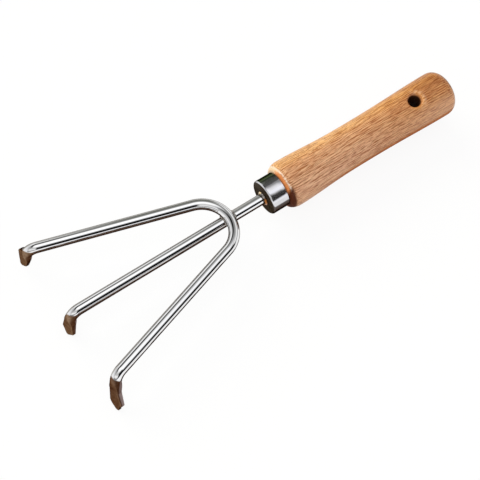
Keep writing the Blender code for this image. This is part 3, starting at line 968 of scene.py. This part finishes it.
def beech():
    """Turned beech: fine straight fibres and short dark flecks, painted light making it
    golden on the user's left, a painted pink sheen on the right, darker toward the butt
    with painted shade there on the user's left, satin varnish."""
    g = Graph("beech_varnished")
    x, y, z = g.split(g.place)
    nx, ny, nz = g.split(g.normal)
    turn = g.node("VectorRotate", rotation_type="Z_AXIS")
    turn.inputs["Angle"].default_value = GRAIN_TURN
    g.put(g.place, turn.inputs["Vector"])
    wood = turn.outputs[0]
    warp = g.vector("SUBTRACT", g.noise(wood, 22.0, 1.0, out="Color"), (0.5, 0.5, 0.5))
    wood = g.vector("ADD", wood, g.stretched(warp, (0.0, GRAIN_WARP, GRAIN_WARP)))

    figure = g.noise(g.stretched(wood, (0.05, 1.0, 0.8)), 520.0)
    fibre = g.noise(g.stretched(wood, (0.038, 1.0, 1.0)), 1900.0, 0.0)
    flecks = g.noise(g.stretched(wood, (0.070, 1.0, 1.0)), 2100.0, 0.0)
    pores = g.noise(g.stretched(wood, (0.110, 1.0, 1.0)), 2500.0, 0.0)
    cloud = g.noise(wood, 34.0, 3.0, 0.55)
    lines = fibre_lines(g, wood, x, y, z)

    colour = g.mix(cloud, *BEECH)
    colour = g.over(colour, FIGURE, g.rise(figure, 0.42, 0.62), 0.12)
    # painted light on the user's left
    colour = g.over(colour, GOLDEN_LIT_SIDE, g.rise(ny, -0.05, 0.60), 0.75)
    # painted pink sheen on the right
    colour = g.over(colour, PINK_SHEEN_SIDE, g.rise(ny, -0.25, -0.75), g.rise(nz, 0.0, 0.35), 0.42)
    colour = g.over(colour, DARK_FIBRE, g.rise(fibre, 0.54, 0.62), 0.25)
    colour = g.over(colour, FLECK, g.rise(flecks, 0.59, 0.64), 0.48)
    colour = g.over(colour, FIBRE_LINE, lines, 0.85)
    colour = g.over(colour, PORE, g.rise(pores, 0.60, 0.65), 0.48)
    colour = g.over(colour, LIGHT_FIBRE, g.rise(fibre, 0.46, 0.34), 0.32)

    # honey tone toward the butt, painted shade there on the user's left, and dark end
    #     grain, partly painted shade on the butt's face
    colour = g.tinted(colour, HONEY_TINT, g.rise(x, 0.085, 0.175))
    colour = g.tinted(colour, BUTT_SHADE_TINT, g.rise(x, 0.135, 0.190), g.rise(ny, -0.50, 0.10))
    colour = g.over(colour, BUTT_PALE, g.rise(x, 0.120, 0.190), g.rise(ny, -0.40, -0.90), 0.22)
    colour = g.over(colour, END_GRAIN_AND_SHADE, g.rise(nx, 0.55, 0.88), 0.72)

    # painted shade and painted reflection of a brown ground: the underside is a deeper,
    #     darker orange, except close to the shoulder
    under_shade = g.times(g.rise(nz, 0.16, -0.12), g.rise(x, 0.055, 0.100))
    colour = g.tinted(colour, UNDER_SHADE_TINT, under_shade)
    colour = g.tinted(colour, LEFT_EDGE_TINT, g.rise(ny, 0.70, 0.96))
    colour, scorch = shoulder_marks(g, colour, x, y, nz, pores)
    colour, inside = hole_marks(g, colour)

    rough = g.more(0.30, g.rise(flecks, 0.5, 0.7), 0.12)
    rough = g.more(rough, cloud, 0.08)
    rough = g.more(rough, under_shade, 0.35)
    rough = g.more(rough, scorch, 0.60)
    rough = g.more(rough, inside, 0.6, clamp=True)
    relief = g.math("SUBTRACT", g.times(fibre, 0.4), g.rise(flecks, 0.56, 0.68))
    return g.done(
        colour, rough, g.bump(relief, 0.00004, 0.5),
        Specular_IOR_Level=0.16, Coat_Weight=0.05, Coat_Roughness=0.30,
    )


# ---------------------------------------------------------------- stage, light and camera

FLOOR_HALF = 6.0
FLOOR_DROP = 0.0002
FLOOR_GREY = 0.9
FLOOR_ROUGHNESS = 0.9
FLOOR_GLOW_SHARE = 0.90

PLAIN, OLIVE, COOL = (1.0, 1.0, 1.0), (1.0, 1.02, 0.90), (0.98, 0.99, 1.05)
# The studio's walls, as bands from the floor to the ceiling: degrees up, level, tint
RIGHT_FAR_WALL = (
    (-30, 0.10, PLAIN), (-6, 0.85, PLAIN), (4, 1.20, PLAIN), (11, 1.0, COOL),
    (17, 0.06, PLAIN), (20, 0.0, PLAIN), (43, 0.0, PLAIN), (50, 0.06, PLAIN),
    (57, 0.28, PLAIN), (64, 0.75, PLAIN), (71, 1.2, COOL), (90, 1.25, PLAIN),
)
RIGHT_NEAR_WALL = (
    (-30, 0.40, PLAIN), (-14, 1.15, PLAIN), (-2, 1.15, PLAIN), (4, 0.60, COOL),
    (9, 0.02, PLAIN), (12, 0.0, PLAIN), (33, 0.0, PLAIN), (38, 0.10, PLAIN),
    (44, 0.60, PLAIN), (51, 1.0, PLAIN), (60, 1.2, COOL), (90, 1.25, PLAIN),
)
LEFT_PLAIN_WALL = (
    (-30, 1.0, PLAIN), (6, 1.0, PLAIN), (8, 0.12, OLIVE), (14, 0.13, OLIVE),
    (30, 0.17, OLIVE), (45, 0.20, OLIVE), (58, 0.24, PLAIN), (64, 0.32, PLAIN),
    (70, 0.65, PLAIN), (76, 1.1, PLAIN), (90, 1.3, PLAIN),
)
LEFT_STRIP_WALL = (
    (-30, 1.0, PLAIN), (6, 1.0, PLAIN), (8, 0.10, PLAIN), (11, 0.22, PLAIN),
    (19, 0.80, PLAIN), (27, 1.1, PLAIN), (37, 1.0, PLAIN), (44, 0.25, PLAIN),
    (49, 0.02, PLAIN), (63, 0.01, PLAIN), (68, 0.35, PLAIN), (74, 1.0, PLAIN),
    (90, 1.25, PLAIN),
)
FRONT_WALL = (
    (-10, 1.0, PLAIN), (6, 1.0, PLAIN), (9, 0.90, PLAIN), (16, 0.90, COOL),
    (28, 0.70, PLAIN), (38, 0.45, PLAIN), (48, 0.50, PLAIN), (56, 0.80, PLAIN),
    (66, 1.1, PLAIN), (90, 1.3, PLAIN),
)
BACK_WALL = (
    (-30, 0.80, PLAIN), (-4, 1.0, PLAIN), (3, 1.05, PLAIN), (10, 0.95, PLAIN),
    (15, 0.30, COOL), (22, 0.22, PLAIN), (28, 0.85, PLAIN), (38, 1.0, PLAIN),
    (46, 0.60, PLAIN), (58, 0.60, PLAIN), (90, 1.2, PLAIN),
)
# Where one wall turns into the next: degrees round from +X, or where a direction's
# part along an axis lies
RIGHT_WALLS_MEET = (-68, -52)
LEFT_WALLS_MEET = (67, 77)
SIDES_MEET = (-0.30, 0.30)                 # along Y
FRONT_DIRECTION = (-0.87, 0.50, 0.0)
FRONT_STARTS = (0.46, 0.80)                # along that direction
BACK_STARTS, BACK_ENDS = (-36, -24), (52, 38)
BACK_TOP = (0.85, 0.74)                    # along Z
FRONT_RIGHT_STARTS = (-107, -122)          # the back wall's bands come again there

# Wide soft lamps: name, direction to the lamp, strength, width in degrees, colour
SUNS = (
    ("key", (-0.15, 0.80, 0.62), 1.9, 50, (1.0, 0.96, 0.84)),
    ("top", (-0.1, -0.15, 1.0), 0.55, 60, (1.0, 1.0, 1.0)),
    ("fill", (0.2, -0.85, 0.48), 0.35, 60, (1.0, 0.96, 0.95)),
)

LENS = 98.03
SENSOR_WIDTH = 36.0
CLIP_RANGE = 0.05, 20.0
CAMERA_PLACE = Vector((-0.2551, -0.36474, 0.79522))
CAMERA_RIGHT = Vector((0.82013729, -0.5720639, 0.01084982))
CAMERA_UP = Vector((0.49938112, 0.72493408, 0.47443554))
CAMERA_BACK = Vector((-0.27927285, -0.38368408, 0.88022338))


def floor_white():
    """Plain white floor. A share of it is self-lit for eye, mirror and glass alike,
    and the rest keeps the object's shadow."""
    g = Graph("floor_white")
    g.done(grey(FLOOR_GREY), FLOOR_ROUGHNESS)
    paths = g.node("LightPath").outputs
    seen = g.math("ADD", paths["Is Camera Ray"], paths["Is Glossy Ray"], clamp=True)
    seen = g.math("ADD", seen, paths["Is Transmission Ray"], clamp=True)
    glow = g.node("Emission")
    glow.inputs["Color"].default_value = WHITE
    glow.inputs["Strength"].default_value = 1.0
    blend = g.node("MixShader")
    g.put(g.times(seen, FLOOR_GLOW_SHARE), blend.inputs[0])
    g.put(g.shader.outputs[0], blend.inputs[1])
    g.put(glow.outputs[0], blend.inputs[2])
    g.put(blend.outputs[0], g.tree.nodes["Material Output"].inputs["Surface"])
    return g.material


def make_floor():
    mesh = bpy.data.meshes.new("floor")
    half = FLOOR_HALF
    corners = [(-half, -half, 0.0), (half, -half, 0.0), (half, half, 0.0), (-half, half, 0.0)]
    mesh.from_pydata(corners, [], [(0, 1, 2, 3)])
    mesh.materials.append(floor_white())
    floor = show("floor", mesh)
    floor.location.z = -FLOOR_DROP


def make_world():
    """A studio as a sky: a white ceiling over walls with a white foot. The walls at the
    sides are dark, with a light strip part way up the left one, and those in front and
    behind are pale. The camera and the metal see the same sky."""
    world = bpy.data.worlds.new("studio")
    bpy.context.scene.world = world
    world.use_nodes = True
    w = Nodes(world.node_tree)
    direction = w.node("TexCoord").outputs["Generated"]
    x, y, z = w.split(direction)
    around = w.math("ARCTAN2", y, x)
    height = w.node("MapRange")
    height.inputs["From Min"].default_value = -1.0
    height.inputs["From Max"].default_value = 1.0
    w.put(z, height.inputs["Value"])

    def wall(bands):
        return w.ramp(height.outputs["Result"], [
            ((math.sin(math.radians(degrees)) + 1) / 2, grey(level, tint))
            for degrees, level, tint in bands
        ])

    def turned(start, end):
        """0 before one heading, 1 past the other, in degrees round from +X."""
        return w.rise(around, math.radians(start), math.radians(end))

    right = w.mix(turned(*RIGHT_WALLS_MEET), wall(RIGHT_FAR_WALL), wall(RIGHT_NEAR_WALL))
    left = w.mix(turned(*LEFT_WALLS_MEET), wall(LEFT_PLAIN_WALL), wall(LEFT_STRIP_WALL))
    sky = w.mix(w.rise(y, *SIDES_MEET), right, left)
    ahead = w.rise(w.dot(direction, FRONT_DIRECTION), *FRONT_STARTS)
    sky = w.mix(ahead, sky, wall(FRONT_WALL))
    back = wall(BACK_WALL)
    sky = w.over(sky, back, turned(*BACK_STARTS), turned(*BACK_ENDS), w.rise(z, *BACK_TOP))
    sky = w.mix(turned(*FRONT_RIGHT_STARTS), sky, back)
    background = w.tree.nodes["Background"]
    w.put(sky, background.inputs["Color"])
    background.inputs["Strength"].default_value = 1.0


def make_suns():
    """The lamps light the object. The sky alone is mirrored in it."""
    for name, direction, strength, degrees, colour in SUNS:
        lamp = bpy.data.lights.new(name, "SUN")
        lamp.energy, lamp.angle, lamp.color = strength, math.radians(degrees), colour
        obj = show(name, lamp)
        obj.rotation_mode = "QUATERNION"
        obj.rotation_quaternion = Vector(direction).to_track_quat("Z", "Y")
        obj.visible_glossy = False


def make_camera():
    data = bpy.data.cameras.new("camera")
    data.lens, data.sensor_width, data.sensor_fit = LENS, SENSOR_WIDTH, "HORIZONTAL"
    data.clip_start, data.clip_end = CLIP_RANGE
    obj = show("camera", data)
    turn = Matrix((CAMERA_RIGHT, CAMERA_UP, CAMERA_BACK)).transposed().to_4x4()
    obj.matrix_world = Matrix.Translation(ORIGIN + CAMERA_PLACE) @ turn
    bpy.context.scene.camera = obj


def main():
    for name in ("Cube", "Light", "Camera"):
        if name in bpy.data.objects:
            bpy.data.objects.remove(bpy.data.objects[name], do_unlink=True)
    bpy.context.scene.view_settings.view_transform = "Standard"
    left, right = (reflection_start(*corner) for corner in outer_corners())
    outer_reflections = [(*left, 1), (*right, -1)]
    centre_reflections = [(*reflection_start(*centre_corner()), 0)]
    weld = weld_metal()
    make_outer_rod(tine_steel("outer_steel_polished", outer_reflections, (0.38, 0.46)))
    make_centre_rod(tine_steel("centre_steel_polished", centre_reflections, (0.51, 0.51)))
    make_crossing_bead(weld)
    make_shank_bead(weld)
    make_ferrule(ferrule_steel())
    make_handle(beech())
    make_floor()
    make_world()
    make_suns()
    make_camera()


main()
